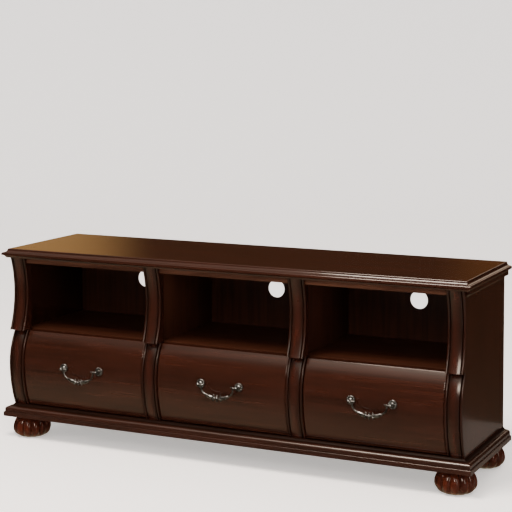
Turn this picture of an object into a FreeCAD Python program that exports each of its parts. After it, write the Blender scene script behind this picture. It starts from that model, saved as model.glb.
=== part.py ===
import FreeCAD, Part
import math
import os

# Television stand with an S-curved front: three open bays over three bombe drawers.
# Millimetres, +Z up. The origin is on the floor under the middle of the stand, +X runs along the
# width and the front faces -Y. "Reach" is a distance forward of the plane of the back.

Vector = FreeCAD.Vector

# Heights, from the floor up
foot_height = 69.0
base_height = 38.5
lower_height = 238.5
upper_height = 228.0
slab_thickness = 28.0

# Widths
bay_opening = 424.0
pilaster_width = 52.0
slab_side_overhang = 22.0
base_projection = 25.0

# Depths: the carcass, and how far each piece stands in front of it
carcass_depth = 362.0
slab_front = 54.5
base_front = 46.0
rail_front = 24.0
pilaster_waist = 19.3
pilaster_belly = 48.5

# The S-curve: a hollow arc above the joint, two swelling arcs below it
hollow_rise = 121.0
hollow_radius = 305.0
swell_rise = 133.5
swell_radius_below = 326.0
swell_radius_above = 185.0

# Boards
side_thickness = 19.0
partition_thickness = 18.0
shelf_thickness = 16.0
bottom_thickness = 16.0
back_thickness = 4.0
back_recess = 2.0
back_clearance = 0.5
rabbet_width = 9.5
rail_height = 17.0
shelf_drop = 2.0
cable_hole_diameter = 56.0
cable_hole_rise = 122.0

# Edge of the top, from the flat outwards and down
slab_bead = 3.0
slab_quirk = 1.0
slab_cove_run = 9.0
slab_cove_drop = 7.0
slab_cove_sag = 1.8
slab_nose = 4.0
slab_nose_flat = 4.5
slab_under_run = 10.5
slab_under_sag = 2.2

# Moulding under the top at the sides
cornice_projection = 12.0
cornice_fascia = 11.0
cornice_height = 20.0
cornice_sag = 2.6
cornice_reach_past_carcass = 18.0

# Base moulding, from the fascia inwards and up
base_fascia = 12.5
base_round = 1.5
base_step = 2.0
base_band = 7.5
base_quirk = 1.5
base_ovolo = 9.0
base_cove_sag = 2.0

# Pilaster face: a bead and a groove along each edge, and a crowned panel between them
bead_radius = 3.5
groove_width = 3.0
groove_depth = 5.0
panel_drop = 2.0
panel_crown = 2.0

# Drawers
drawer_reveal = 2.0
drawer_setback = 4.5
drawer_front_thickness = 20.0
drawer_bottom_gap = 2.5
drawer_top_gap = 3.5
drawer_edge_round = 2.5
box_side_gap = 12.0
box_thickness = 12.0
box_rear_gap = 44.0
box_height = 194.0
box_bottom_rise = 18.0
box_bottom_thickness = 5.0
box_groove = 5.0
glue_gap = 0.1
panel_slack = 0.2
sliding_gap = 0.3
shelf_gap = 0.7

# Drawer runners and the kickers over the drawer sides
runner_ledge = 14.0
runner_lip_height = 20.0
runner_lip_thickness = 14.0
runner_lip_gap = 0.8
runner_front_gap = 4.0
kicker_width = 16.0
kicker_overhang = 4.0
kicker_gap = 0.6

# Drop pulls
post_spacing = 125.0
pull_rise = 2.0
rose_radius = 13.0
rose_rim = 2.5
rose_ring = 4.5
rose_ring_rise = 2.2
rose_quirk = 1.0
rose_dome = 7.0
rose_dome_sag = 1.2
neck_radius = 3.5
knuckle_radius = 5.0
pivot_reach = 20.0
bail_radius = 2.8
bail_pin_radius = 2.3
bail_pin_gap = 0.3
bail_pin_past_post = 2.0
bail_bore_bottom = 0.5
bail_arm_gap = 2.7
bail_elbow = 5.0
bail_corner_radius = 22.5
bail_corner_turn = 60.0
bail_ball = 5.6
bail_small_ball = 4.6
bail_ball_spacing = 9.5
pull_screw_radius = 2.0
pull_screw_head_radius = 4.0
pull_screw_head = 2.5
pull_screw_bite = 6.0
screw_gap = 0.2

# Feet
foot_radius = 60.0
foot_bulge = 36.0
foot_widest = 27.0
foot_lobes = 12
foot_lobe_depth = 6.5
foot_sections = 7
foot_end_turn = 75.0
foot_side_inset = 63.0
foot_front_inset = 67.0
foot_back_inset = 62.0
foot_bolt_radius = 4.0
foot_bolt_depth = 35.0
foot_block_length = 36.0
foot_block_height = 22.0
foot_block_gap = 1.0
foot_bolt_gap = 0.2

# Screws of the back panel
back_screw_radius = 1.5
back_screw_length = 14.0
back_screw_head_radius = 3.5
back_screw_head = 1.6
back_screw_end_margin = 60.0
back_screw_rows = 3

# A pilaster is swept this far past its ends in degrees, then trimmed level
trim_turn = 50.0

# An edge within this distance of a curve lies on it
edge_tolerance = 0.01

# Sizes that follow
bay_count = 3
quarter_bow = 1 - math.sqrt(0.5)
carcass_width = bay_count * bay_opening + (bay_count + 1) * pilaster_width
carcass_half = carcass_width / 2
inner_half = carcass_half - side_thickness
bay_pitch = bay_opening + pilaster_width
bay_centres = [(i - (bay_count - 1) / 2) * bay_pitch for i in range(bay_count)]
pilaster_centres = [(i - bay_count / 2) * bay_pitch for i in range(bay_count + 1)]
partition_centres = pilaster_centres[1:-1]

base_top = foot_height + base_height
joint_height = base_top + lower_height
slab_under = joint_height + upper_height
overall_height = slab_under + slab_thickness
bottom_top = foot_height + bottom_thickness
shelf_top = joint_height - shelf_drop
shelf_under = shelf_top - shelf_thickness
hollow_height = joint_height + hollow_rise
swell_height = base_top + swell_rise
back_face = back_recess + back_thickness

hollow_reach = carcass_depth + pilaster_waist
swell_reach = carcass_depth + pilaster_belly
slab_reach = carcass_depth + slab_front
base_reach = carcass_depth + base_front
rail_reach = carcass_depth + rail_front
slab_half = carcass_half + slab_side_overhang
base_half = carcass_half + base_projection

drawer_crown = swell_reach - drawer_setback
drawer_half = bay_opening / 2 - drawer_reveal
drawer_low = base_top + drawer_bottom_gap
drawer_high = joint_height - drawer_top_gap
drawer_inset = drawer_setback + drawer_front_thickness
box_half = bay_opening / 2 - box_side_gap
box_inner_half = box_half - box_thickness
runner_outer = box_half + runner_lip_gap + runner_lip_thickness
box_rear = back_face + box_rear_gap
box_low = base_top + sliding_gap
box_high = box_low + box_height
box_bottom_low = base_top + box_bottom_rise
box_bottom_high = box_bottom_low + box_bottom_thickness

pull_height = swell_height + pull_rise
pivot_plane = drawer_crown + pivot_reach
pull_front = pivot_plane + max(knuckle_radius, bail_ball)
overall_depth = max(pull_front, slab_reach)
bail_arm = post_spacing / 2 - knuckle_radius - bail_arm_gap - bail_radius
foot_places = [
    (side * (base_half - foot_side_inset), reach)
    for side in (-1, 1)
    for reach in (base_reach - foot_front_inset, foot_back_inset)
]


def y_at(reach):
    """Y of the plane that lies this far in front of the back."""
    return overall_depth / 2 - reach


def box(x_low, x_high, reach_low, reach_high, z_low, z_high):
    corner = Vector(x_low, y_at(reach_high), z_low)
    return Part.makeBox(x_high - x_low, reach_high - reach_low, z_high - z_low, corner)


def rod(radius, x, z, reach_low, reach_high):
    """Cylinder along the depth."""
    place = Vector(x, y_at(reach_high), z)
    return Part.makeCylinder(radius, reach_high - reach_low, place, Vector(0, 1, 0))


def section(points, place):
    """Closed face through 2-D points that place() puts in space.

    A third number is the sag of the run that ends at the point, bowed to the left of its chord.
    """
    edges = []
    for before, after in zip(points, points[1:] + points[:1]):
        start = place(before[0], before[1])
        end = place(after[0], after[1])
        if len(after) == 3:
            run_u = after[0] - before[0]
            run_v = after[1] - before[1]
            share = after[2] / math.hypot(run_u, run_v)
            middle_u = (before[0] + after[0]) / 2 - run_v * share
            middle_v = (before[1] + after[1]) / 2 + run_u * share
            edges.append(Part.Arc(start, place(middle_u, middle_v), end).toShape())
        else:
            edges.append(Part.LineSegment(start, end).toShape())
    return Part.Face(Part.Wire(edges))


def along_width(points, x_low, x_high):
    """Prism of a (reach, z) section between two x planes."""
    face = section(points, lambda reach, z: Vector(x_low, y_at(reach), z))
    return face.extrude(Vector(x_high - x_low, 0, 0))


def along_depth(points, reach_low, reach_high):
    """Prism of an (x, z) section between two reaches."""
    face = section(points, lambda x, z: Vector(x, y_at(reach_low), z))
    return face.extrude(Vector(0, reach_low - reach_high, 0))


def upright(points, z_low, z_high):
    """Prism of an (x, reach) plan between two heights."""
    face = section(points, lambda x, reach: Vector(x, y_at(reach), z_low))
    return face.extrude(Vector(0, 0, z_high - z_low))


def turned(points, x, z, reach):
    """Solid of revolution about the depth axis through (x, z); points are (radius, forward)."""
    face = section(points, lambda radius, forward: Vector(x + radius, y_at(reach + forward), z))
    return face.revolve(Vector(x, 0, z), Vector(0, 1, 0), 360)


def mirrored(shape):
    return shape.mirror(Vector(0, 0, 0), Vector(1, 0, 0))


def framed(edge, z_low, z_high, reach, half):
    """Board with the same moulded edge on its front and both sides and a straight back."""
    front = along_width([(0, z_low), (0, z_high)] + edge(reach), -half, half)
    right = along_depth([(-half, z_low), (-half, z_high)] + edge(half), 0, reach)
    return front.common(right).common(mirrored(right))


def slab_edge(outer):
    """Moulded edge of the top, from its flat to its underside."""
    bead_end = outer - slab_nose - slab_quirk - slab_cove_run
    cove_top = overall_height - slab_bead - slab_quirk
    cove_low = cove_top - slab_cove_drop
    nose_low = cove_low - slab_nose
    return [
        (bead_end - slab_bead, overall_height),
        (bead_end, overall_height - slab_bead, quarter_bow * slab_bead),
        (bead_end, cove_top),
        (bead_end + slab_cove_run, cove_low, -slab_cove_sag),
        (outer - slab_nose, cove_low),
        (outer, nose_low, quarter_bow * slab_nose),
        (outer, nose_low - slab_nose_flat),
        (outer - slab_under_run, slab_under, -slab_under_sag),
    ]


def base_edge(outer):
    """Moulded edge of the base, from its top to its underside."""
    fascia_top = foot_height + base_fascia
    step_level = fascia_top + base_round
    ovolo_low = step_level + base_band
    ovolo_high = ovolo_low + base_ovolo
    ovolo_out = outer - base_round - base_step
    return [
        (outer - base_projection, base_top),
        (ovolo_out - base_ovolo - base_quirk, ovolo_high, -base_cove_sag),
        (ovolo_out - base_ovolo, ovolo_high),
        (ovolo_out, ovolo_low, quarter_bow * base_ovolo),
        (ovolo_out, step_level),
        (outer - base_round, step_level),
        (outer, fascia_top, quarter_bow * base_round),
        (outer, foot_height),
    ]


def swell_reach_at(z, inset):
    """Reach of the swelling front at a height, set back square to the curve by inset."""
    radius = swell_radius_above if z > swell_height else swell_radius_below
    centre = swell_reach - radius
    return centre + math.sqrt((radius - inset) ** 2 - (z - swell_height) ** 2)


def bow(start, end, radius):
    """Sag of an arc of this radius between two points."""
    half_chord = math.hypot(end[0] - start[0], end[1] - start[1]) / 2
    return radius - math.sqrt(radius ** 2 - half_chord ** 2)


def swell_run(inset, z_start, z_end):
    """Section points of the swelling front from one height, over its crown, to another."""
    start = (swell_reach_at(z_start, inset), z_start)
    crown = (swell_reach - inset, swell_height)
    end = (swell_reach_at(z_end, inset), z_end)
    side, first_radius, second_radius = 1, swell_radius_above, swell_radius_below
    if z_end > z_start:
        side, first_radius, second_radius = -1, swell_radius_below, swell_radius_above
    first_sag = side * bow(start, crown, first_radius - inset)
    second_sag = side * bow(crown, end, second_radius - inset)
    return [start, crown + (first_sag,), end + (second_sag,)]


def pilaster_plan(face_reach, back_reach):
    """(x, reach) section of a pilaster: bead, groove, crowned panel, groove, bead."""
    half = pilaster_width / 2
    bead_base = face_reach - bead_radius
    bead_inner = half - 2 * bead_radius
    panel_half = bead_inner - groove_width
    groove_base = face_reach - groove_depth
    panel_edge = face_reach - panel_drop
    return [
        (-half, back_reach),
        (-half, bead_base),
        (-bead_inner, bead_base, bead_radius),
        (-bead_inner, groove_base),
        (-panel_half, groove_base),
        (-panel_half, panel_edge),
        (panel_half, panel_edge, panel_crown),
        (panel_half, groove_base),
        (bead_inner, groove_base),
        (bead_inner, bead_base),
        (half, bead_base, bead_radius),
        (half, back_reach),
    ]


def swept_pilaster(centre_x, face_reach, level, axis_reach, start_turn, end_turn):
    """The pilaster section turned about a level axis that runs along the width."""
    depth_for_trim = 2 * pilaster_belly
    plan = pilaster_plan(face_reach, face_reach - depth_for_trim)
    face = section(plan, lambda x, reach: Vector(centre_x + x, y_at(reach), level))
    axis_point = Vector(centre_x, y_at(axis_reach), level)
    along_x = Vector(1, 0, 0)
    face.rotate(axis_point, along_x, start_turn)
    return face.revolve(axis_point, along_x, end_turn - start_turn)


def pilaster_trim(centre_x, z_low, z_high):
    half = pilaster_width / 2
    return box(centre_x - half, centre_x + half, carcass_depth, slab_reach, z_low, z_high)


def upper_pilaster(centre_x):
    """Hollow pilaster that ends in an overhanging tip."""
    axis = hollow_reach + hollow_radius
    swept = swept_pilaster(centre_x, hollow_reach, hollow_height, axis, -trim_turn, trim_turn)
    return swept.common(pilaster_trim(centre_x, joint_height, slab_under))


def lower_pilaster(centre_x):
    """Swelling pilaster, set back under the tip of the upper one."""
    axis_below = swell_reach - swell_radius_below
    axis_above = swell_reach - swell_radius_above
    below = swept_pilaster(centre_x, swell_reach, swell_height, axis_below, 0, trim_turn)
    above = swept_pilaster(centre_x, swell_reach, swell_height, axis_above, -trim_turn, 0)
    return below.fuse(above).common(pilaster_trim(centre_x, base_top, joint_height))


def back_screw_places():
    """(x, z) of the screws, along the side panels and the partitions."""
    side_line = inner_half + rabbet_width / 2
    columns = [-side_line] + partition_centres + [side_line]
    low = bottom_top + back_screw_end_margin
    high = slab_under - back_screw_end_margin
    rows = [low + i * (high - low) / (back_screw_rows - 1) for i in range(back_screw_rows)]
    return [(x, z) for x in columns for z in rows]


def back_screw_hole(x, z):
    return rod(back_screw_radius + screw_gap, x, z, 0, back_face + back_screw_length)


def with_back_screw_holes(shape):
    for x, z in back_screw_places():
        shape = shape.cut(back_screw_hole(x, z))
    return shape


def side_panel(side):
    panel = box(inner_half, carcass_half, 0, carcass_depth, foot_height, slab_under)
    rabbet = box(inner_half, inner_half + rabbet_width, 0, back_face, foot_height, slab_under)
    panel = with_back_screw_holes(panel.cut(rabbet))
    return panel if side > 0 else mirrored(panel)


def partition(centre_x):
    half = partition_thickness / 2
    board = box(centre_x - half, centre_x + half, back_face, carcass_depth, bottom_top, slab_under)
    return with_back_screw_holes(board)


def bay_walls(bay):
    """x of the faces that a bay lies between."""
    walls = [-inner_half]
    for centre in partition_centres:
        walls += [centre - partition_thickness / 2, centre + partition_thickness / 2]
    walls.append(inner_half)
    return walls[2 * bay], walls[2 * bay + 1]


def shelf(bay):
    left, right = bay_walls(bay)
    front = swell_reach_at(drawer_high, drawer_inset) - shelf_gap
    return box(left, right, back_face, front, shelf_under, shelf_top)


def back_panel():
    half = inner_half + rabbet_width - back_clearance
    low = foot_height + back_clearance
    panel = box(-half, half, back_recess, back_face, low, slab_under - back_clearance)
    for centre in bay_centres:
        hole = rod(cable_hole_diameter / 2, centre, joint_height + cable_hole_rise, 0, back_face)
        panel = panel.cut(hole)
    return with_back_screw_holes(panel)


def back_panel_screws():
    screws = []
    for x, z in back_screw_places():
        head = rod(back_screw_head_radius, x, z, back_recess - back_screw_head, back_recess)
        shank = rod(back_screw_radius, x, z, back_recess, back_recess + back_screw_length)
        screws.append(head.fuse(shank))
    return Part.makeCompound(screws)


def cornice(side):
    """Moulding under the overhang of the top: a fascia over a cove."""
    outer = carcass_half + cornice_projection
    points = [
        (carcass_half, slab_under),
        (outer, slab_under),
        (outer, slab_under - cornice_fascia),
        (carcass_half, slab_under - cornice_height, -cornice_sag),
    ]
    strip = along_depth(points, 0, carcass_depth + cornice_reach_past_carcass)
    return strip if side > 0 else mirrored(strip)


def top_rail(bay):
    low = bay_centres[bay] - bay_opening / 2
    high = bay_centres[bay] + bay_opening / 2
    return box(low, high, carcass_depth, rail_reach, slab_under - rail_height, slab_under)


def base_ring():
    return framed(base_edge, foot_height, base_top, base_reach, base_half)


def base_moulding_front():
    """Front of the base, mitred at its ends, with a ledge that the lower pilasters stand on."""
    inner = base_half - base_projection
    mitre_reach = base_reach - base_projection
    plan = [
        (-base_half, base_reach),
        (base_half, base_reach),
        (inner, mitre_reach),
        (inner, carcass_depth),
        (-inner, carcass_depth),
        (-inner, mitre_reach),
    ]
    return base_ring().common(upright(plan, foot_height, base_top))


def base_moulding_side(side):
    inner = base_half - base_projection
    plan = [(inner, 0), (base_half, 0), (base_half, base_reach), (inner, base_reach - base_projection)]
    moulding = base_ring().common(upright(plan, foot_height, base_top))
    return moulding if side > 0 else mirrored(moulding)


def foot_bolt_hole(x, reach):
    low = foot_height - foot_bolt_depth
    high = bottom_top + foot_block_height
    place = Vector(x, y_at(reach), low)
    return Part.makeCylinder(foot_bolt_radius + foot_bolt_gap, high - low, place)


def bottom_panel():
    panel = box(-inner_half, inner_half, back_face, carcass_depth, foot_height, bottom_top)
    for x, reach in foot_places:
        panel = panel.cut(foot_bolt_hole(x, reach))
    return panel


def foot_blocks():
    """Blocks over the feet, between the outer runners and the side panels, that the bolts end in."""
    inner = bay_centres[-1] + runner_outer + foot_block_gap
    half = foot_block_length / 2
    blocks = []
    for x, reach in foot_places:
        low, high = (inner, inner_half) if x > 0 else (-inner_half, -inner)
        block = box(low, high, reach - half, reach + half, bottom_top, bottom_top + foot_block_height)
        blocks.append(block.cut(foot_bolt_hole(x, reach)))
    return Part.makeCompound(blocks)


def foot_hanger_bolts():
    low = foot_height - foot_bolt_depth
    length = foot_bolt_depth + bottom_thickness + foot_block_height
    bolts = [
        Part.makeCylinder(foot_bolt_radius, length, Vector(x, y_at(reach), low)) for x, reach in foot_places
    ]
    return Part.makeCompound(bolts)


def foot_ring(centre, turn):
    """Lobed outline of a foot where its side has turned this far from the widest level."""
    rise = math.sin(math.radians(turn)) / math.sin(math.radians(foot_end_turn))
    span = foot_height - foot_widest if turn > 0 else foot_widest
    crest = foot_radius - foot_bulge + foot_bulge * math.cos(math.radians(turn))
    valley = crest - foot_lobe_depth * math.cos(math.radians(turn))
    level = foot_widest + span * rise

    def on_ring(radius, step):
        angle = 2 * math.pi * step / foot_lobes
        return centre + Vector(radius * math.cos(angle), radius * math.sin(angle), level)

    arcs = []
    for lobe in range(foot_lobes):
        arc = Part.Arc(on_ring(valley, lobe), on_ring(crest, lobe + 0.5), on_ring(valley, lobe + 1))
        arcs.append(arc.toShape())
    return Part.Wire(arcs)


def bun_foot(x, reach):
    """Turned and carved bun foot: lobes drawn together at the top and the floor."""
    centre = Vector(x, y_at(reach), 0)
    step = 2 * foot_end_turn / (foot_sections - 1)
    rings = [foot_ring(centre, -foot_end_turn + i * step) for i in range(foot_sections)]
    return Part.makeLoft(rings, True, False).cut(foot_bolt_hole(x, reach))


def runner_strips(centre):
    """L-shaped runners that carry and guide the two sides of one drawer."""
    lip_inner = runner_outer - runner_lip_thickness
    lip_front = swell_reach_at(drawer_low, drawer_inset) - runner_front_gap
    ledge_inner = box_half - runner_ledge
    ledge = box(ledge_inner, runner_outer, back_face, carcass_depth, bottom_top, base_top)
    lip = box(lip_inner, runner_outer, back_face, lip_front, base_top, base_top + runner_lip_height)
    right = ledge.fuse(lip).removeSplitter()
    return [strip.translated(Vector(centre, 0, 0)) for strip in (mirrored(right), right)]


def drawer_runners():
    return Part.makeCompound([strip for centre in bay_centres for strip in runner_strips(centre)])


def drawer_kickers():
    """Strips under the shelves that keep a pulled drawer from tipping."""
    front = swell_reach_at(drawer_high, drawer_inset) - runner_front_gap
    under = box_high + kicker_gap
    outer = box_half + kicker_overhang
    strips = []
    for centre in bay_centres:
        for low in (centre - outer, centre + outer - kicker_width):
            strips.append(box(low, low + kicker_width, back_face, front, under, shelf_under))
    return Part.makeCompound(strips)


def pull_posts_x(centre):
    return [centre - post_spacing / 2, centre + post_spacing / 2]


def drawer_front(centre):
    """Bent panel that follows the swelling curve, with softened outer edges."""
    outer_run = swell_run(drawer_setback, drawer_low, drawer_high)
    inner_run = swell_run(drawer_inset, drawer_high, drawer_low)
    panel = along_width(outer_run + inner_run, centre - drawer_half, centre + drawer_half)
    outer_edges = [edge for edge in panel.Edges if on_drawer_face(edge)]
    panel = panel.makeFillet(drawer_edge_round, outer_edges)
    groove_front = swell_reach_at(box_bottom_high, drawer_inset) + box_groove
    groove = box(
        centre - box_inner_half - box_groove,
        centre + box_inner_half + box_groove,
        box_rear,
        groove_front,
        box_bottom_low - panel_slack,
        box_bottom_high + panel_slack,
    )
    panel = panel.cut(groove)
    for x in pull_posts_x(centre):
        panel = panel.cut(rod(pull_screw_radius + screw_gap, x, pull_height, box_rear, slab_reach))
    return panel


def on_drawer_face(edge):
    """Whether an edge bounds the outer face: its middle lies on the curve, and it isn't the crown line."""
    middle = edge.valueAt((edge.FirstParameter + edge.LastParameter) / 2)
    reach = overall_depth / 2 - middle.y
    on_face = abs(reach - swell_reach_at(middle.z, drawer_setback)) < edge_tolerance
    at_crown = abs(middle.z - swell_height) < edge_tolerance
    return on_face and not at_crown


def drawer_side(centre, side):
    run = swell_run(drawer_inset + glue_gap, box_low, box_high)
    points = [(box_rear, box_low)] + run + [(box_rear, box_high)]
    board = along_width(points, box_inner_half, box_half)
    groove = box(
        box_inner_half,
        box_inner_half + box_groove,
        box_rear,
        swell_reach,
        box_bottom_low - panel_slack,
        box_bottom_high + panel_slack,
    )
    board = board.cut(groove)
    board = board if side > 0 else mirrored(board)
    return board.translated(Vector(centre, 0, 0))


def drawer_back(centre):
    low = box_bottom_high + panel_slack
    half = box_inner_half
    return box(centre - half, centre + half, box_rear, box_rear + box_thickness, low, box_high)


def drawer_bottom(centre):
    half = box_inner_half + box_groove - panel_slack
    front = swell_reach_at(box_bottom_high, drawer_inset) + box_groove - panel_slack
    return box(centre - half, centre + half, box_rear, front, box_bottom_low, box_bottom_high)


def pull_post(x, inner_side):
    """Rose with a round ring and a dome, neck and pierced ball, turned in one piece."""
    ring_inner = rose_radius - rose_ring
    quirk_level = rose_rim - rose_quirk
    ball_start = (neck_radius, pivot_reach - math.sqrt(knuckle_radius ** 2 - neck_radius ** 2))
    ball_end = (0, pivot_reach + knuckle_radius)
    points = [
        (0, -rose_rim),
        (rose_radius, -rose_rim),
        (rose_radius, rose_rim),
        (ring_inner, rose_rim, -rose_ring_rise),
        (ring_inner, quirk_level),
        (ring_inner - rose_quirk, quirk_level),
        (neck_radius, rose_dome, -rose_dome_sag),
        ball_start,
        ball_end + (-bow(ball_start, ball_end, knuckle_radius),),
    ]
    post = turned(points, x, pull_height, drawer_crown)
    bore_depth = bail_pin_past_post + bail_bore_bottom
    bore_start = Vector(x - inner_side * bore_depth, y_at(pivot_plane), pull_height)
    bore_length = bore_depth + knuckle_radius
    bore_radius = bail_pin_radius + bail_pin_gap
    bore = Part.makeCylinder(bore_radius, bore_length, bore_start, Vector(inner_side, 0, 0))
    screw_hole_end = drawer_crown + pull_screw_bite + screw_gap
    screw_hole = rod(pull_screw_radius + screw_gap, x, pull_height, box_rear, screw_hole_end)
    return post.cut(drawer_front_core()).cut(bore).cut(screw_hole)


def drawer_front_core():
    """Everything behind the outer face of the drawer fronts, to seat the roses on the curve."""
    outer_run = swell_run(drawer_setback, drawer_low, drawer_high)
    rear = [(box_rear, drawer_high), (box_rear, drawer_low)]
    return along_width(outer_run + rear, -carcass_half, carcass_half)


def pull_posts(centre):
    left, right = pull_posts_x(centre)
    return Part.makeCompound([pull_post(left, 1), pull_post(right, -1)])


def pull_screws(centre):
    """Machine screws from inside the drawer into the posts."""
    seat = swell_reach_at(pull_height + pull_screw_head_radius, drawer_inset) - screw_gap
    screws = []
    for x in pull_posts_x(centre):
        head = rod(pull_screw_head_radius, x, pull_height, seat - pull_screw_head, seat)
        shank = rod(pull_screw_radius, x, pull_height, seat, drawer_crown + pull_screw_bite)
        screws.append(head.fuse(shank))
    return Part.makeCompound(screws)


def bail_bend(axis_point, start, heading, degrees):
    """Piece of round bar bent about an axis that runs along the depth."""
    profile = Part.Face(Part.Wire(Part.makeCircle(bail_radius, start, heading)))
    return profile.revolve(axis_point, Vector(0, 1, 0), degrees)


def pull_bail(centre):
    """Swinging handle: pins in the posts, tight elbows, round corners, a shallow bow with three beads."""

    def at(x, z):
        return Vector(centre + x, y_at(pivot_plane), pull_height + z)

    turn = math.radians(bail_corner_turn)
    corner_x = bail_arm - bail_corner_radius
    bow_x = corner_x + bail_corner_radius * math.cos(turn)
    bow_z = -bail_elbow - bail_corner_radius * math.sin(turn)
    bow_radius = bow_x / math.cos(turn)
    bow_centre_z = bow_z + bow_radius * math.sin(turn)
    bow_heading = Vector(-math.sin(turn), 0, -math.cos(turn))
    elbow_start = bail_arm + bail_elbow
    pin_length = post_spacing / 2 + bail_pin_past_post - elbow_start
    arm_top = at(bail_arm, -bail_elbow)
    right = [
        Part.makeCylinder(bail_pin_radius, pin_length, at(elbow_start, 0), Vector(1, 0, 0)),
        bail_bend(at(elbow_start, -bail_elbow), arm_top, Vector(0, 0, 1), 90),
        bail_bend(at(corner_x, -bail_elbow), arm_top, Vector(0, 0, -1), bail_corner_turn),
    ]
    left = [piece.mirror(at(0, 0), Vector(1, 0, 0)) for piece in right]
    beads = []
    for step, radius in ((-1, bail_small_ball), (0, bail_ball), (1, bail_small_ball)):
        angle = step * bail_ball_spacing / bow_radius
        place = at(bow_radius * math.sin(angle), bow_centre_z - bow_radius * math.cos(angle))
        beads.append(Part.makeSphere(radius, place, Vector(math.cos(angle), 0, math.sin(angle))))
    bow_turn = 180 - 2 * bail_corner_turn
    bow_bar = bail_bend(at(0, bow_centre_z), at(bow_x, bow_z), bow_heading, bow_turn)
    return bow_bar.multiFuse(right + left + beads)


def export(name, shape):
    shape.exportStep(os.path.join("parts", name + ".step"))


def export_carcass():
    export("top_panel", framed(slab_edge, slab_under, overall_height, slab_reach, slab_half))
    export("bottom_panel", bottom_panel())
    export("back_panel", back_panel())
    export("back_panel_screws", back_panel_screws())
    export("base_moulding_front", base_moulding_front())
    export("foot_blocks", foot_blocks())
    export("foot_hanger_bolts", foot_hanger_bolts())
    export("drawer_runners", drawer_runners())
    export("drawer_kickers", drawer_kickers())
    for side, name in ((-1, "left"), (1, "right")):
        export("side_panel_" + name, side_panel(side))
        export("top_moulding_" + name, cornice(side))
        export("base_moulding_" + name, base_moulding_side(side))
    for centre, name in zip(partition_centres, ("left", "right")):
        export("partition_" + name, partition(centre))
    for centre, name in zip(pilaster_centres, ("outer_left", "inner_left", "inner_right", "outer_right")):
        export("upper_pilaster_" + name, upper_pilaster(centre))
        export("lower_pilaster_" + name, lower_pilaster(centre))
    for place, name in zip(foot_places, ("front_left", "back_left", "front_right", "back_right")):
        export("bun_foot_" + name, bun_foot(*place))


def export_bay(bay, name):
    centre = bay_centres[bay]
    export("top_rail_" + name, top_rail(bay))
    export("shelf_" + name, shelf(bay))
    export(name + "_drawer_front", drawer_front(centre))
    export(name + "_drawer_side_left", drawer_side(centre, -1))
    export(name + "_drawer_side_right", drawer_side(centre, 1))
    export(name + "_drawer_back", drawer_back(centre))
    export(name + "_drawer_bottom", drawer_bottom(centre))
    export(name + "_pull_posts", pull_posts(centre))
    export(name + "_pull_screws", pull_screws(centre))
    export(name + "_pull_bail", pull_bail(centre))


os.makedirs("parts", exist_ok=True)
export_carcass()
for bay_index, bay_name in enumerate(("left", "middle", "right")):
    export_bay(bay_index, bay_name)
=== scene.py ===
import math

import bmesh
import bpy
from mathutils import Matrix, Vector


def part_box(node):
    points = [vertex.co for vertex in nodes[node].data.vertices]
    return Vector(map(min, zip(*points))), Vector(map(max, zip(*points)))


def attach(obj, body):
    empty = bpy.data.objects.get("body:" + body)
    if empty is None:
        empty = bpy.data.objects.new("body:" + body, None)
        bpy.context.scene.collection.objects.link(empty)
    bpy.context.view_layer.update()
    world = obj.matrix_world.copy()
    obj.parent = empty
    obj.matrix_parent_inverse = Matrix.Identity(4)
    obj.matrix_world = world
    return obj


bl_info = {
    "name": "TV Stand with a Bombe Front",
    "version": (1, 0, 0),
    "blender": (4, 5, 0),
    "location": "3D View > Sidebar > TV Stand",
    "description": "Finishes the packed stand, adds the cast ornament of its pulls and sets the stage",
    "category": "Object",
}

MM = 0.001
ALONG_WIDTH, ALONG_DEPTH, UPRIGHT = 0, 1, 2
BAYS = ("left", "middle", "right")
PILASTERS = ("outer_left", "inner_left", "inner_right", "outer_right")
FEET = ("front_left", "back_left", "front_right", "back_right")
WOOD_IOR = 1.5
LACQUER_IOR = 1.5
MERGE_DISTANCE = 0.001 * MM
# Sockets of a Mix node that mixes two colours
SHARE, FIRST, SECOND, MIXED = 0, 6, 7, 2

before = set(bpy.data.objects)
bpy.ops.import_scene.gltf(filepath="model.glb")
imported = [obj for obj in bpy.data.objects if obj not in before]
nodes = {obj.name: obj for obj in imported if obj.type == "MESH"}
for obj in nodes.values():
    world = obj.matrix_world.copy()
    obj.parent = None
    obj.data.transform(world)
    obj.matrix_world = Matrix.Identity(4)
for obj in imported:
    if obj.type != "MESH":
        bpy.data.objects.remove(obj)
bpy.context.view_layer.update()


def linear(hex_code):
    """Linear red, green, blue and alpha of an sRGB hex colour."""
    channels = []
    for start in (1, 3, 5):
        value = int(hex_code[start:start + 2], 16) / 255
        channels.append(value / 12.92 if value <= 0.04045 else ((value + 0.055) / 1.055) ** 2.4)
    return (*channels, 1.0)


def colour_property(name, description, hex_code):
    return bpy.props.FloatVectorProperty(
        name=name, description=description, default=linear(hex_code), size=4, min=0, max=1, subtype="COLOR")


def length_property(name, description, millimetres):
    return bpy.props.FloatProperty(
        name=name, description=description, default=millimetres * MM, min=0, unit="LENGTH", precision=5)


def count_property(name, description, count):
    return bpy.props.IntProperty(name=name, description=description, default=count, min=3)


def strength_property(name, description, strength):
    return bpy.props.FloatProperty(name=name, description=description, default=strength, min=0)


def power_property(name, description, watts):
    return bpy.props.FloatProperty(name=name, description=description, default=watts, min=0, unit="POWER")


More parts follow.
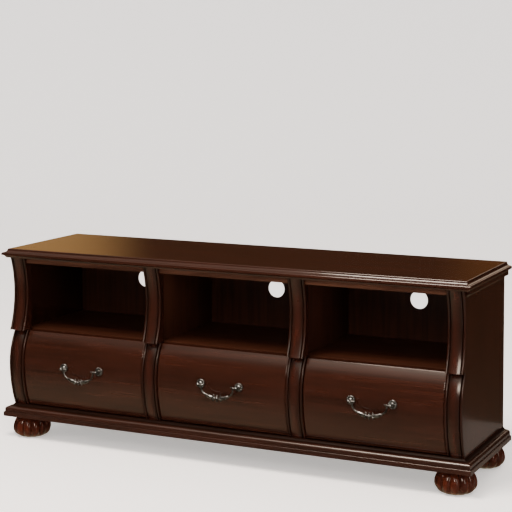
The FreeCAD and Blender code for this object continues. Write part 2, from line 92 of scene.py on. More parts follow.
class StandFinish(bpy.types.PropertyGroup):
    """Colours and grain of the wood."""
    cherry: colour_property("Cherry", "Stained cherry between its streaks", "#27110A")
    streak: colour_property("Streak", "Late wood, which takes more stain", "#1A0B06")
    pilaster: colour_property("Pilaster", "Cherry of the pilasters, a little redder", "#290F08")
    # Painted light: paler than the case, standing in for the light that the rails under the top catch
    rail: colour_property("Rail", "Stained rails under the top, a little paler", "#40271B")
    # Partly painted light: its own redder tone, and lighter to stand in for light from the floor
    turned_cherry: colour_property("Turned cherry", "Solid cherry of the feet, redder still", "#3A160B")
    turned_streak: colour_property("Turned streak", "Late wood of the feet", "#230D07")
    # Also the colour of the painted shade beside the pilasters' grooves and in the base's cove
    glaze: colour_property("Glaze", "Dark glaze left in the grooves", "#0D0604")
    interior: colour_property("Interior", "Stained board inside the bays", "#361D13")
    interior_streak: colour_property("Interior streak", "Late wood inside the bays", "#25130C")
    drawer_wood: colour_property("Drawer wood", "Plain hardwood of the drawer boxes", "#C9A677")
    drawer_streak: colour_property("Drawer streak", "Late wood of the drawer boxes", "#A98153")
    streak_width: length_property("Streak width", "Width of one streak across the grain", 15)
    pore_width: length_property("Pore width", "Width of a pore line, drawn coarse enough to show", 2.2)
    pore_depth: length_property("Pore depth", "Depth of a pore line", 0.3)
    streak_stretch: bpy.props.FloatProperty(
        name="Streak stretch", description="Length of a streak over its width", default=22, min=1)


class StandPulls(bpy.types.PropertyGroup):
    """Cast ornament of the drop pulls."""
    pewter: colour_property("Pewter", "Rubbed metal on the high places", "#828688")
    patina: colour_property("Patina", "Dark patina in the low places", "#2B2723")
    post_spacing: length_property("Post spacing", "Distance between the two posts of a pull", 125)
    ring_height: length_property("Ring height", "Height of the rosettes' ring above the drawer", 4)
    petals: count_property("Petals", "Petals round a rosette", 12)
    petal_ring: length_property("Petal ring", "Radius of the circle that the petals stand on", 10.3)
    petal_length: length_property("Petal length", "Length of a petal, outwards", 4.8)
    petal_width: length_property("Petal width", "Width of a petal", 4.6)
    petal_height: length_property("Petal height", "Height of a petal", 2.6)
    bow_radius: length_property("Bow radius", "Radius of the bail's bow", 81.5)
    sheath_length: length_property("Sheath length", "Length of the leaf sheath on the bow", 27)
    sheath_start: length_property("Sheath start", "Distance of the sheath from the middle of the bow", 12.5)
    leaves: count_property("Leaves", "Leaf tips at the end of a sheath", 6)
    elbow: length_property("Elbow", "Distance of an arm's elbow from the middle of the pull", 54)
    finial_length: length_property("Finial length", "Length of the leaf tip at the top of an arm", 11)


class StandStage(bpy.types.PropertyGroup):
    """Floor, lights and camera."""
    backdrop: colour_property("Backdrop", "White studio bowl under and behind the stand", "#EDF1F8")
    backdrop_light: colour_property("Backdrop light", "Light that shines through the bowl", "#F6F2EC")
    backdrop_glow: strength_property("Backdrop glow", "Strength of the light through the bowl", 0.55)
    walls: colour_property("Walls", "Dim warm surroundings that the lacquer mirrors", "#281A10")
    mirrored_floor: colour_property("Mirrored floor", "Floor as the lacquer mirrors it", "#8E8067")
    sky_strength: strength_property("Surroundings", "Strength of the light from all around", 2.2)
    sky_edge: bpy.props.FloatProperty(
        name="Overhead edge", description="Degrees left of the front where the light from above ends",
        default=32)
    lamp: colour_property("Lamp", "Warm glow that the left of the top mirrors", "#A27C4C")
    amber: colour_property("Amber", "Dim glow that the right end of the top mirrors", "#54351A")
    window: colour_property("Window", "Pale light that the right mouldings mirror in thin lines", "#E0C8B0")
    softbox: colour_property("Softbox", "Slightly warm white of the lights", "#FFEBD8")
    card_strength: strength_property("Bounce card", "Strength of the card that the side mirrors", 0.33)
    key_power: power_property("Key", "Power of the overhead softbox", 250)
    front_power: power_property("Front", "Power of the front softbox", 50)
    fill_power: power_property("Fill", "Power of the strip on the right", 25)


def add_node(tree, kind, inputs=None, **settings):
    """Adds a shader node, sets its properties, and sets or links its inputs."""
    node = tree.nodes.new("ShaderNode" + kind)
    for name, value in settings.items():
        setattr(node, name, value)
    for name, value in (inputs or {}).items():
        if isinstance(value, bpy.types.NodeSocket):
            tree.links.new(value, node.inputs[name])
        else:
            node.inputs[name].default_value = value
    return node


def new_material(name):
    material = bpy.data.materials.new(name)
    material.use_nodes = True
    material.node_tree.nodes.clear()
    return material, material.node_tree


def along_grain(tree, place, finish, grain):
    """Place drawn out along the grain, so that noise on it runs in streaks."""
    stretch = [1.0, 1.0, 1.0]
    stretch[grain] = 1 / finish.streak_stretch
    return add_node(tree, "Mapping", {"Vector": place, "Scale": stretch}).outputs["Vector"]


def lacquered_cherry(finish, name, grain, light, dark, gloss=0.8, gloss_roughness=0.12, glaze_and_shade_mask=None):
    """Cherry stained dark and sprayed with gloss lacquer, with glaze and painted shade where a mask says.

    The eye sees slow red-brown streaks along the grain, fine pore lines, and clear reflections
    from the lacquer on top, which is smooth over the pores.
    """
    material, tree = new_material(name)
    place = add_node(tree, "TexCoord").outputs["Object"]
    grained = along_grain(tree, place, finish, grain)
    streaks = add_node(tree, "TexNoise", {
        "Vector": grained, "Scale": 1 / finish.streak_width,
        "Detail": 2.0, "Roughness": 0.5, "Distortion": 0.7})
    pores = add_node(tree, "TexNoise", {
        "Vector": grained, "Scale": 1 / finish.pore_width, "Detail": 2.0, "Roughness": 0.6})
    streak_share = add_node(tree, "MapRange", {
        "Value": streaks.outputs["Fac"], "From Min": 0.28, "From Max": 0.72, "To Min": 1.0, "To Max": 0.0})
    pore_share = add_node(tree, "MapRange", {
        "Value": pores.outputs["Fac"], "From Min": 0.3, "From Max": 0.62, "To Min": 0.2, "To Max": 0.0})
    colour = add_node(tree, "Mix", {
        SHARE: streak_share.outputs[0], FIRST: light, SECOND: dark}, data_type="RGBA")
    colour = add_node(tree, "Mix", {
        SHARE: pore_share.outputs[0], FIRST: colour.outputs[MIXED], SECOND: dark}, data_type="RGBA")
    # Glaze and painted shade: the mask darkens towards the glaze colour and takes the gloss away
    if glaze_and_shade_mask:
        darkened = glaze_and_shade_mask(tree, place)
        colour = add_node(tree, "Mix", {
            SHARE: darkened, FIRST: colour.outputs[MIXED], SECOND: finish.glaze}, data_type="RGBA")
        gloss = add_node(tree, "MapRange", {
            "Value": darkened, "From Min": 0.55, "From Max": 0.8, "To Min": gloss, "To Max": 0.0}).outputs[0]
    roughness = add_node(tree, "MapRange", {
        "Value": pores.outputs["Fac"], "From Min": 0.3, "From Max": 0.7, "To Min": 0.46, "To Max": 0.34})
    relief = add_node(tree, "Bump", {
        "Height": pores.outputs["Fac"], "Strength": 0.08, "Distance": finish.pore_depth})
    shader = add_node(tree, "BsdfPrincipled", {
        "Base Color": colour.outputs[MIXED], "Roughness": roughness.outputs[0],
        "Normal": relief.outputs["Normal"], "IOR": WOOD_IOR, "Specular IOR Level": 0.03,
        "Coat Weight": gloss, "Coat Roughness": gloss_roughness, "Coat IOR": LACQUER_IOR})
    add_node(tree, "OutputMaterial", {"Surface": shader.outputs[0]})
    return material


def plain_hardwood(finish, name, grain):
    """Sanded hardwood without a finish: pale, with soft streaks, fine pores and no gloss."""
    material, tree = new_material(name)
    place = add_node(tree, "TexCoord").outputs["Object"]
    grained = along_grain(tree, place, finish, grain)
    streaks = add_node(tree, "TexNoise", {
        "Vector": grained, "Scale": 1 / finish.streak_width,
        "Detail": 3.0, "Roughness": 0.6, "Distortion": 1.0})
    pores = add_node(tree, "TexNoise", {
        "Vector": grained, "Scale": 1 / finish.pore_width, "Detail": 2.0, "Roughness": 0.6})
    streak_share = add_node(tree, "MapRange", {
        "Value": streaks.outputs["Fac"], "From Min": 0.38, "From Max": 0.64, "To Min": 0.9, "To Max": 0.0})
    colour = add_node(tree, "Mix", {
        SHARE: streak_share.outputs[0], FIRST: finish.drawer_wood, SECOND: finish.drawer_streak},
        data_type="RGBA")
    roughness = add_node(tree, "MapRange", {
        "Value": pores.outputs["Fac"], "From Min": 0.3, "From Max": 0.7, "To Min": 0.72, "To Max": 0.58})
    relief = add_node(tree, "Bump", {
        "Height": pores.outputs["Fac"], "Strength": 0.2, "Distance": finish.pore_depth})
    shader = add_node(tree, "BsdfPrincipled", {
        "Base Color": colour.outputs[MIXED], "Roughness": roughness.outputs[0],
        "Normal": relief.outputs["Normal"], "IOR": WOOD_IOR})
    add_node(tree, "OutputMaterial", {"Surface": shader.outputs[0]})
    return material


def antique_pewter(pulls):
    """Cast zinc alloy plated, blackened and rubbed back: dark patches between silvery ones.

    The patches are drawn coarser than real ones, so that they show.
    """
    patch_width, grit_width, grit_depth = 8 * MM, 0.9 * MM, 0.2 * MM
    material, tree = new_material("antique pewter")
    place = add_node(tree, "TexCoord").outputs["Object"]
    patches = add_node(tree, "TexNoise", {
        "Vector": place, "Scale": 1 / patch_width, "Detail": 3.0, "Roughness": 0.6})
    grit = add_node(tree, "TexNoise", {"Vector": place, "Scale": 1 / grit_width, "Detail": 2.0})
    rubbed = add_node(tree, "MapRange", {
        "Value": patches.outputs["Fac"], "From Min": 0.4, "From Max": 0.58, "To Min": 0.12, "To Max": 1.0})
    colour = add_node(tree, "Mix", {
        SHARE: rubbed.outputs[0], FIRST: pulls.patina, SECOND: pulls.pewter}, data_type="RGBA")
    roughness = add_node(tree, "MapRange", {
        "Value": grit.outputs["Fac"], "From Min": 0.3, "From Max": 0.7, "To Min": 0.28, "To Max": 0.46})
    relief = add_node(tree, "Bump", {
        "Height": grit.outputs["Fac"], "Strength": 0.15, "Distance": grit_depth})
    shader = add_node(tree, "BsdfPrincipled", {
        "Base Color": colour.outputs[MIXED], "Roughness": roughness.outputs[0],
        "Normal": relief.outputs["Normal"], "Metallic": 1.0})
    add_node(tree, "OutputMaterial", {"Surface": shader.outputs[0]})
    return material


def zinc_plated_steel():
    """Steel screws with bright zinc: pale grey with cloudy spangles."""
    spangle_width = 2 * MM
    dull_zinc, bright_zinc = linear("#8E9194"), linear("#C4C6C6")
    material, tree = new_material("zinc plated steel")
    place = add_node(tree, "TexCoord").outputs["Object"]
    cloud = add_node(tree, "TexNoise", {"Vector": place, "Scale": 1 / spangle_width, "Detail": 2.0})
    colour = add_node(tree, "Mix", {
        SHARE: cloud.outputs["Fac"], FIRST: dull_zinc, SECOND: bright_zinc}, data_type="RGBA")
    roughness = add_node(tree, "MapRange", {
        "Value": cloud.outputs["Fac"], "From Min": 0.3, "From Max": 0.7, "To Min": 0.26, "To Max": 0.4})
    shader = add_node(tree, "BsdfPrincipled", {
        "Base Color": colour.outputs[MIXED], "Roughness": roughness.outputs[0], "Metallic": 1.0})
    add_node(tree, "OutputMaterial", {"Surface": shader.outputs[0]})
    return material


def dress(material, names):
    for name in names:
        nodes[name].data.materials.clear()
        nodes[name].data.materials.append(material)


def bay_pitch():
    """Distance between neighbouring pilasters."""
    left_low, left_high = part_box("upper_pilaster_inner_left")
    right_low, right_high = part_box("upper_pilaster_inner_right")
    return (right_low.x + right_high.x - left_low.x - left_high.x) / 2


def pilaster_glaze_and_shade(tree, place):
    """Share of glaze in a pilaster's two grooves, and of painted shade that fades out beside them."""
    groove_offset = 17.5 * MM
    packed_start, packed_end = 1.0 * MM, 2.8 * MM
    edge_shade_start, edge_shade_end = 2.0 * MM, 15.0 * MM
    along = add_node(tree, "SeparateXYZ", {"Vector": place}).outputs["X"]
    turns = add_node(tree, "Math", {0: along, 1: 1 / bay_pitch()}, operation="MULTIPLY").outputs[0]
    turn = add_node(tree, "Math", {0: turns}, operation="FRACT").outputs[0]
    off_centre = add_node(tree, "Math", {0: turn, 1: 0.5}, operation="SUBTRACT").outputs[0]
    distance = add_node(tree, "Math", {0: off_centre}, operation="ABSOLUTE").outputs[0]
    distance = add_node(tree, "Math", {0: distance, 1: bay_pitch()}, operation="MULTIPLY").outputs[0]
    beside = add_node(tree, "Math", {0: distance, 1: groove_offset}, operation="SUBTRACT").outputs[0]
    beside = add_node(tree, "Math", {0: beside}, operation="ABSOLUTE").outputs[0]
    packed = add_node(tree, "MapRange", {
        "Value": beside, "From Min": packed_start, "From Max": packed_end, "To Min": 0.8, "To Max": 0.0},
        interpolation_type="SMOOTHSTEP")
    # Painted shade: the glaze colour spreads beside the grooves and darkens the face, leaving its middle
    # lighter
    painted_edge_shade = add_node(tree, "MapRange", {
        "Value": beside, "From Min": edge_shade_start, "From Max": edge_shade_end, "To Min": 0.55, "To Max": 0.0},
        interpolation_type="SMOOTHSTEP")
    share = add_node(tree, "Math", {0: packed.outputs[0], 1: painted_edge_shade.outputs[0]}, operation="MAXIMUM")
    return share.outputs[0]


def painted_cove_shade(tree, place):
    """Share of painted shade: most in the cove along the top of the base, none on the round below it."""
    cove_height, fade = 8 * MM, 0.6 * MM
    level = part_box("base_moulding_front")[1].z - cove_height
    height = add_node(tree, "SeparateXYZ", {"Vector": place}).outputs["Z"]
    share = add_node(tree, "MapRange", {
        "Value": height, "From Min": level, "From Max": level + fade, "To Min": 0.0, "To Max": 0.85},
        interpolation_type="SMOOTHSTEP")
    return share.outputs[0]


class STAND_OT_finish_case(bpy.types.Operator):
    """Stain, glaze and lacquer the case, mouldings, pilasters and feet, painting in some light and shade"""
    bl_idname = "stand.finish_case"
    bl_label = "Finish the Case"

    def execute(self, context):
        finish = context.scene.stand_finish
        tones = (finish.cherry, finish.streak)
        wide = lacquered_cherry(finish, "lacquered cherry along width", ALONG_WIDTH, *tones)
        deep = lacquered_cherry(finish, "lacquered cherry along depth", ALONG_DEPTH, *tones)
        tall = lacquered_cherry(finish, "lacquered cherry upright", UPRIGHT, *tones)
        # Pilasters: glaze in their grooves and painted shade beside them
        carved = lacquered_cherry(
            finish, "glazed cherry pilaster", UPRIGHT, finish.pilaster, finish.streak, gloss_roughness=0.19,
            glaze_and_shade_mask=pilaster_glaze_and_shade)
        # Painted shade: the base's cove is darkened and dulled, standing in for its shade under the drawers
        thick_coat_and_cove_shade = {"gloss": 1.0, "gloss_roughness": 0.26, "glaze_and_shade_mask": painted_cove_shade}
        base_wide = lacquered_cherry(
            finish, "glazed cherry base along width", ALONG_WIDTH, *tones, **thick_coat_and_cove_shade)
        base_deep = lacquered_cherry(
            finish, "glazed cherry base along depth", ALONG_DEPTH, *tones, **thick_coat_and_cove_shade)
        # Feet: turned cherry of their own tone, painted lighter as if lit from the floor
        turned = lacquered_cherry(
            finish, "lacquered turned cherry", UPRIGHT, finish.turned_cherry, finish.turned_streak)
        # Rails: the stain with painted light, paler than the case
        rail = lacquered_cherry(
            finish, "stained rail with painted light along width", ALONG_WIDTH, finish.rail, finish.interior_streak)
        dress(wide, ["top_panel"])
        dress(rail, ["top_rail_" + bay for bay in BAYS])
        dress(deep, ["top_moulding_left", "top_moulding_right"])
        dress(tall, ["side_panel_left", "side_panel_right"])
        dress(base_wide, ["base_moulding_front"])
        dress(base_deep, ["base_moulding_left", "base_moulding_right"])
        dress(turned, ["bun_foot_" + foot for foot in FEET])
        dress(carved, ["upper_pilaster_" + name for name in PILASTERS])
        dress(carved, ["lower_pilaster_" + name for name in PILASTERS])
        return {"FINISHED"}


class STAND_OT_finish_inside(bpy.types.Operator):
    """Stain the boards inside the bays and leave the runners plain"""
    bl_idname = "stand.finish_inside"
    bl_label = "Finish the Inside"

    def execute(self, context):
        finish = context.scene.stand_finish
        tones = (finish.interior, finish.interior_streak)
        thin_coat = {"gloss": 0.2, "gloss_roughness": 0.3}
        wide = lacquered_cherry(finish, "stained board along width", ALONG_WIDTH, *tones, **thin_coat)
        tall = lacquered_cherry(finish, "stained board upright", UPRIGHT, *tones, **thin_coat)
        runner = plain_hardwood(finish, "plain hardwood along depth", ALONG_DEPTH)
        block = plain_hardwood(finish, "plain hardwood along width", ALONG_WIDTH)
        dress(wide, ["bottom_panel"] + ["shelf_" + bay for bay in BAYS])
        dress(tall, ["partition_left", "partition_right", "back_panel"])
        dress(runner, ["drawer_runners", "drawer_kickers"])
        dress(block, ["foot_blocks"])
        dress(zinc_plated_steel(), ["back_panel_screws", "foot_hanger_bolts"])
        return {"FINISHED"}


class STAND_OT_finish_drawers(bpy.types.Operator):
    """Lacquer the bent drawer fronts and leave the boxes behind them plain"""
    bl_idname = "stand.finish_drawers"
    bl_label = "Finish the Drawers"

    def execute(self, context):
        finish = context.scene.stand_finish
        front = lacquered_cherry(
            finish, "lacquered cherry drawer front", ALONG_WIDTH, finish.cherry, finish.streak)
        along_box = plain_hardwood(finish, "drawer hardwood along depth", ALONG_DEPTH)
        across_box = plain_hardwood(finish, "drawer hardwood along width", ALONG_WIDTH)
        screw_steel = zinc_plated_steel()
        for bay in BAYS:
            dress(front, [bay + "_drawer_front"])
            dress(along_box, [bay + "_drawer_side_left", bay + "_drawer_side_right"])
            dress(across_box, [bay + "_drawer_back", bay + "_drawer_bottom"])
            dress(screw_steel, [bay + "_pull_screws"])
        return {"FINISHED"}


def linked_object(name, shape):
    """Turns a bmesh in place into an object of the scene."""
    mesh = bpy.data.meshes.new(name)
    shape.to_mesh(mesh)
    shape.free()
    piece = bpy.data.objects.new(name, mesh)
    bpy.context.scene.collection.objects.link(piece)
    return piece


def finish_piece(name, shape, body, material):
    """Turns a bmesh in place into a smooth object that rides on a body."""
    bmesh.ops.remove_doubles(shape, verts=shape.verts, dist=MERGE_DISTANCE)
    bmesh.ops.recalc_face_normals(shape, faces=shape.faces)
    piece = linked_object(name, shape)
    piece.data.shade_smooth()
    piece.data.materials.append(material)
    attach(piece, body)


def swept_bar(shape, stations, sides):
    """Round bar through stations of (place, radius), closed at both ends."""
    place, radius = stations[0]
    start = bmesh.ops.create_circle(shape, cap_ends=True, radius=radius, segments=sides, matrix=place)
    ring = start["verts"]
    edges = [edge for edge in shape.edges if edge.verts[0] in ring and edge.verts[1] in ring]
    for next_place, next_radius in stations[1:]:
        grown = bmesh.ops.extrude_edge_only(shape, edges=edges)["geom"]
        ring = [item for item in grown if isinstance(item, bmesh.types.BMVert)]
        edges = [item for item in grown if isinstance(item, bmesh.types.BMEdge)]
        edges = [edge for edge in edges if edge.verts[0] in ring and edge.verts[1] in ring]
        move = next_place @ Matrix.Scale(next_radius / radius, 4) @ place.inverted()
        bmesh.ops.transform(shape, matrix=move, verts=ring)
        place, radius = next_place, next_radius
    bmesh.ops.edgeloop_fill(shape, edges=edges)


def pull_places(pulls, bay):
    """Middles of the two rosettes of a pull, on the plane of their rings."""
    low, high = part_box(bay + "_pull_posts")
    ring_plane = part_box(bay + "_drawer_front")[0].y - pulls.ring_height
    middle = Vector(((low.x + high.x) / 2, ring_plane, (low.z + high.z) / 2))
    half = Vector((pulls.post_spacing / 2, 0, 0))
    return middle - half, middle + half


class STAND_OT_rosettes(bpy.types.Operator):
    """Set a ring of cast petals round the foot of every post"""
    bl_idname = "stand.rosettes"
    bl_label = "Pull Rosettes"

    def execute(self, context):
        pulls = context.scene.stand_pulls
        metal = antique_pewter(pulls)
        for bay in BAYS:
            dress(metal, [bay + "_pull_posts"])
            shape = bmesh.new()
            for post in pull_places(pulls, bay):
                for petal in range(pulls.petals):
                    turn = Matrix.Rotation(2 * math.pi * petal / pulls.petals, 4, "Y")
                    size = Matrix.Diagonal(
                        (pulls.petal_length / 2, pulls.petal_height / 2, pulls.petal_width / 2, 1))
                    out = Matrix.Translation((pulls.petal_ring, 0, 0))
                    place = Matrix.Translation(post) @ turn @ out @ size
                    bmesh.ops.create_uvsphere(shape, u_segments=10, v_segments=6, radius=1, matrix=place)
            finish_piece(bay + "_pull_rosettes", shape, bay + "_drawer", metal)
        return {"FINISHED"}


class STAND_OT_bail_leaves(bpy.types.Operator):
    """Wrap the bow of every bail in two leaf sheaths, and end its arms in leaf tips"""
    bl_idname = "stand.bail_leaves"
    bl_label = "Bail Leaves"

    def execute(self, context):
        pulls = context.scene.stand_pulls
        metal = antique_pewter(pulls)
        for bay in BAYS:
            dress(metal, [bay + "_pull_bail"])
            low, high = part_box(bay + "_pull_bail")
            pivot_y = (low.y + high.y) / 2
            centre_x = (low.x + high.x) / 2
            bead_radius = (high.y - low.y) / 2
            bow_centre = Vector((centre_x, pivot_y, low.z + bead_radius + pulls.bow_radius))
            pivot_z = pull_places(pulls, bay)[0].z
            shape = bmesh.new()
            middle = self.on_bow(pulls, bow_centre, side=1, distance=0)
            self.add_leaf_tips(shape, pulls, middle, lean=90)
            for side in (-1, 1):
                self.add_sheath(shape, pulls, bow_centre, side)
                sheath_end = self.on_bow(pulls, bow_centre, side, pulls.sheath_start)
                self.add_leaf_tips(shape, pulls, sheath_end, lean=68)
                elbow = Vector((centre_x + side * pulls.elbow, pivot_y, pivot_z))
                self.add_finial(shape, pulls, elbow, side)
            finish_piece(bay + "_bail_leaves", shape, bay + "_bail", metal)
        return {"FINISHED"}

    def on_bow(self, pulls, bow_centre, side, distance):
        """Place on the bow at a distance from its middle, with Z along the bow away from the middle."""
        angle = side * distance / pulls.bow_radius
        turn = Matrix.Rotation(-angle, 4, "Y") @ Matrix.Rotation(side * math.pi / 2, 4, "Y")
        point = bow_centre + Vector((math.sin(angle), 0, -math.cos(angle))) * pulls.bow_radius
        return Matrix.Translation(point) @ turn

    def add_sheath(self, shape, pulls, bow_centre, side):
        """Swelling sleeve that fades into the bar away from the middle, and is broader than it is deep.

        The profile gives shares of its length, and radii in millimetres.
        """
        profile = ((0.0, 3.8), (0.12, 4.6), (0.35, 4.8), (0.6, 4.3), (0.85, 3.5), (1.0, 2.7))
        breadth = 1.25
        broaden = Matrix.Diagonal((breadth, 1, 1, 1))
        stations = []
        for share, radius in profile:
            distance = pulls.sheath_start + share * pulls.sheath_length
            stations.append((self.on_bow(pulls, bow_centre, side, distance) @ broaden, radius * MM))
        swept_bar(shape, stations, sides=20)

    def add_leaf_tips(self, shape, pulls, place, lean):
        """Flattened ring of leaves round the bow, which stand off it at an angle and end in a curl."""
        length, width, thickness, rise, curl = 10 * MM, 4.6 * MM, 2.4 * MM, 5.4 * MM, 2.6 * MM
        flatness = 0.5
        flatten = Matrix.Diagonal((1, flatness, 1, 1))
        for leaf in range(pulls.leaves):
            around = flatten @ Matrix.Rotation(2 * math.pi * leaf / pulls.leaves, 4, "Z")
            tilt = Matrix.Rotation(math.radians(-lean), 4, "Y")
            size = Matrix.Diagonal((thickness / 2, width / 2, length / 2, 1))
            stand = place @ around @ Matrix.Translation((rise, 0, 0)) @ tilt
            bmesh.ops.create_uvsphere(shape, u_segments=10, v_segments=8, radius=1, matrix=stand @ size)
            tip = stand @ Matrix.Translation((0, 0, -length / 2 + curl))
            bmesh.ops.create_uvsphere(shape, u_segments=10, v_segments=8, radius=curl, matrix=tip)

    def add_finial(self, shape, pulls, elbow, side):
        """Leaf tip at the top of an arm, pointing to the middle of the pull and a little up.

        The profile gives shares of its length, and radii and rises in millimetres.
        """
        profile = (
            (-0.15, 3.0, 0), (0.1, 3.5, 0), (0.35, 3.3, 0.3),
            (0.65, 2.3, 1.0), (0.9, 1.2, 2.0), (1.0, 0.5, 2.5))
        sideways = Matrix.Rotation(math.pi / 2, 4, "Y")
        stations = []
        for share, radius, rise in profile:
            point = elbow + Vector((-side * share * pulls.finial_length, 0, rise * MM))
            stations.append((Matrix.Translation(point) @ sideways, radius * MM))
        swept_bar(shape, stations, sides=16)


class STAND_OT_stage(bpy.types.Operator):
    """Lay the floor, set the lights and place the camera"""
    bl_idname = "stand.stage"
    bl_label = "Stage"

    def execute(self, context):
        stage = context.scene.stand_stage
        self.raise_backdrop(stage)
        self.lay_bounce_card(stage)
        self.paint_world(context, stage)
        aim = Vector((0, 0, 0.3))
        self.hang_light(
            stage, "overhead softbox", place=(-0.25, -1.6, 3.4), aim=aim, width=1.3, height=1.3,
            power=stage.key_power)
        self.hang_light(
            stage, "front softbox", place=(1.0, -3.6, 2.1), aim=aim, width=0.7, height=0.9,
            power=stage.front_power)
        self.hang_light(
            stage, "right strip", place=(3.6, -2.2, 1.5), aim=aim, width=0.3, height=1.8,
            power=stage.fill_power)
        self.place_camera(context)
        return {"FINISHED"}

    def raise_backdrop(self, stage):
        """Round floor that curves up into a wall; mirrored rays pass it and see the world."""
        floor_radius, curve_radius, wall_height = 6.5, 3.0, 7.0
        curve_steps, spin_steps = 12, 96
        shape = bmesh.new()
        profile = [Vector((0, 0, 0))]
        for step in range(curve_steps + 1):
            turn = math.radians(step * 90 / curve_steps)
            out = floor_radius + curve_radius * math.sin(turn)
            profile.append(Vector((out, 0, curve_radius * (1 - math.cos(turn)))))
        profile.append(Vector((floor_radius + curve_radius, 0, wall_height)))
        corners = [bmesh.ops.create_vert(shape, co=point)["vert"][0] for point in profile]
        edges = [shape.edges.new(pair) for pair in zip(corners, corners[1:])]
        bmesh.ops.spin(
            shape, geom=corners + edges, cent=(0, 0, 0), axis=(0, 0, 1), angle=2 * math.pi,
            steps=spin_steps, use_merge=True)
        bmesh.ops.remove_doubles(shape, verts=shape.verts, dist=MM)
        bmesh.ops.recalc_face_normals(shape, faces=shape.faces)
        backdrop = linked_object("studio_backdrop", shape)
        backdrop.data.shade_smooth()
        material, tree = new_material("matte studio backdrop")
        shader = add_node(tree, "BsdfPrincipled", {
            "Base Color": stage.backdrop, "Roughness": 0.9,
            "Emission Color": stage.backdrop_light, "Emission Strength": stage.backdrop_glow})
        add_node(tree, "OutputMaterial", {"Surface": shader.outputs[0]})
        backdrop.data.materials.append(material)
        backdrop.visible_glossy = False

    def lay_bounce_card(self, stage):
        """White card on the floor, right of the stand, that only the lacquer of the side mirrors."""
        near, far, left, right, lift = -2.5, 0.64, 0.82, 2.4, 1 * MM
        shape = bmesh.new()
        corners = ((left, near, lift), (right, near, lift), (right, far, lift), (left, far, lift))
        points = [bmesh.ops.create_vert(shape, co=corner)["vert"][0] for corner in corners]
        bmesh.ops.contextual_create(shape, geom=points)
        card = linked_object("bounce_card", shape)
        material, tree = new_material("white bounce card")
        light = add_node(tree, "Emission", {"Color": stage.softbox, "Strength": stage.card_strength})
        add_node(tree, "OutputMaterial", {"Surface": light.outputs[0]})
        card.data.materials.append(material)
        card.visible_camera = False
        card.visible_diffuse = False
        card.visible_shadow = False

    def glow(self, tree, direction, azimuth, elevation, inner, outer):
        """Share of a round patch of light: one inside the inner angle, none past the outer one."""
        turn, rise = math.radians(azimuth), math.radians(elevation)
        centre = (math.sin(turn) * math.cos(rise), math.cos(turn) * math.cos(rise), math.sin(rise))
        towards = add_node(tree, "VectorMath", {0: direction, 1: centre}, operation="DOT_PRODUCT")
        share = add_node(tree, "MapRange", {
            "Value": towards.outputs["Value"], "From Min": math.cos(math.radians(outer)),
            "From Max": math.cos(math.radians(inner))}, interpolation_type="SMOOTHSTEP")
        return share.outputs[0]

    def paint_world(self, context, stage):
        """Dim walls, light from above that is weaker on the left, the mirrored floor and soft patches."""
        world = bpy.data.worlds.new("soft studio")
        world.use_nodes = True
        tree = world.node_tree
        tree.nodes.clear()
        direction = add_node(tree, "TexCoord").outputs["Generated"]
        up = add_node(tree, "SeparateXYZ", {"Vector": direction}).outputs["Z"]
        overhead = add_node(tree, "MapRange", {
            "Value": up, "From Min": 0.42, "From Max": 0.78}, interpolation_type="SMOOTHSTEP")
        edge = math.radians(stage.sky_edge)
        across = add_node(tree, "VectorMath", {
            0: direction, 1: (math.cos(edge), -math.sin(edge), 0)}, operation="DOT_PRODUCT")
        lit = add_node(tree, "MapRange", {
            "Value": across.outputs["Value"], "From Min": -0.12, "From Max": 0.08, "To Min": 0.35},
            interpolation_type="SMOOTHSTEP")
        overhead = add_node(tree, "Math", {0: overhead.outputs[0], 1: lit.outputs[0]}, operation="MULTIPLY")
        steep = add_node(tree, "MapRange", {
            "Value": up, "From Min": -0.18, "From Max": -0.6}, interpolation_type="SMOOTHSTEP")
        dimmed = add_node(tree, "MapRange", {
            "Value": across.outputs["Value"], "From Min": -0.02, "From Max": 0.2,
            "To Min": 1.0, "To Max": 0.4})
        steep = add_node(tree, "Math", {0: steep.outputs[0], 1: dimmed.outputs[0]}, operation="MULTIPLY")
        colour = add_node(tree, "Mix", {
            SHARE: overhead.outputs[0], FIRST: stage.walls, SECOND: stage.softbox}, data_type="RGBA")
        colour = add_node(tree, "Mix", {
            SHARE: steep.outputs[0], FIRST: colour.outputs[MIXED], SECOND: stage.mirrored_floor},
            data_type="RGBA")
        # Colour, then azimuth, elevation, inner and outer angle in degrees
        patches = (
            (stage.lamp, -35.7, 8, 2, 6.5),
            (stage.amber, -11, 9, 4.5, 7.5),
            (stage.window, -3, 16.5, 4.5, 8),
        )
        for tone, *patch in patches:
            lamp = self.glow(tree, direction, *patch)
            colour = add_node(tree, "Mix", {
                SHARE: lamp, FIRST: colour.outputs[MIXED], SECOND: tone}, data_type="RGBA")
        light = add_node(tree, "Background", {
            "Color": colour.outputs[MIXED], "Strength": stage.sky_strength})
        add_node(tree, "OutputWorld", {"Surface": light.outputs[0]})
        context.scene.world = world

    def hang_light(self, stage, name, place, aim, width, height, power):
        """Soft rectangular light that shines at a point, and that the camera doesn't see."""
        data = bpy.data.lights.new(name, "AREA")
        data.color = stage.softbox[:3]
        data.shape = "RECTANGLE"
        data.size = width
        data.size_y = height
        data.energy = power
        lamp = bpy.data.objects.new(name, data)
        lamp.location = place
        lamp.rotation_euler = (aim - Vector(place)).to_track_quat("-Z", "Y").to_euler()
        lamp.visible_camera = False
        bpy.context.scene.collection.objects.link(lamp)

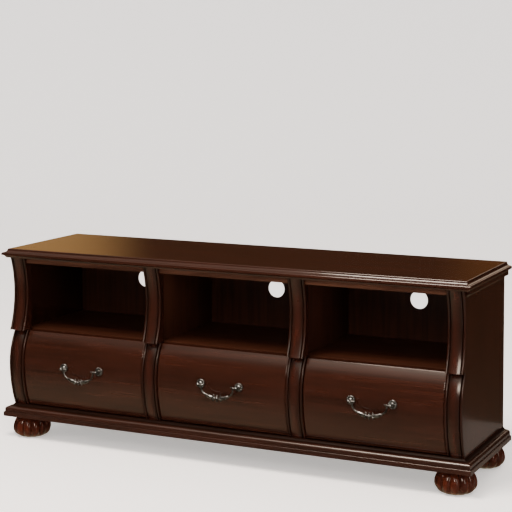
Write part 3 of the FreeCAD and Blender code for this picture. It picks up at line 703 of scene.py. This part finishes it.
    def place_camera(self, context):
        """Camera in front of the right end, looking to the left and a little down."""
        downward, leftward = 3.236, 25.282
        data = bpy.data.cameras.new("camera")
        data.lens = 103.59
        data.sensor_width = 36
        data.shift_y = -0.2559
        camera = bpy.data.objects.new("camera", data)
        camera.location = (1.9234, -4.0136, 1.2508)
        camera.rotation_euler = (math.radians(90 - downward), 0, math.radians(leftward))
        context.scene.collection.objects.link(camera)
        context.scene.camera = camera


class STAND_PT_panel(bpy.types.Panel):
    """Steps that dress the stand, and the sizes and colours they use"""
    bl_idname = "STAND_PT_panel"
    bl_label = "TV Stand"
    bl_space_type = "VIEW_3D"
    bl_region_type = "UI"
    bl_category = "TV Stand"

    def draw(self, context):
        for operator in OPERATORS:
            self.layout.operator(operator.bl_idname)
        for settings in (context.scene.stand_finish, context.scene.stand_pulls, context.scene.stand_stage):
            box = self.layout.box()
            for name in settings.bl_rna.properties.keys():
                if name not in ("rna_type", "name"):
                    box.prop(settings, name)


OPERATORS = (
    STAND_OT_finish_case,
    STAND_OT_finish_inside,
    STAND_OT_finish_drawers,
    STAND_OT_rosettes,
    STAND_OT_bail_leaves,
    STAND_OT_stage,
)
CLASSES = (StandFinish, StandPulls, StandStage, *OPERATORS, STAND_PT_panel)


def register():
    for item in CLASSES:
        bpy.utils.register_class(item)
    bpy.types.Scene.stand_finish = bpy.props.PointerProperty(type=StandFinish)
    bpy.types.Scene.stand_pulls = bpy.props.PointerProperty(type=StandPulls)
    bpy.types.Scene.stand_stage = bpy.props.PointerProperty(type=StandStage)


def unregister():
    del bpy.types.Scene.stand_stage
    del bpy.types.Scene.stand_pulls
    del bpy.types.Scene.stand_finish
    for item in reversed(CLASSES):
        bpy.utils.unregister_class(item)


def main():
    register()
    bpy.ops.stand.finish_case()
    bpy.ops.stand.finish_inside()
    bpy.ops.stand.finish_drawers()
    bpy.ops.stand.rosettes()
    bpy.ops.stand.bail_leaves()
    bpy.ops.stand.stage()


if __name__ == "__main__":
    main()
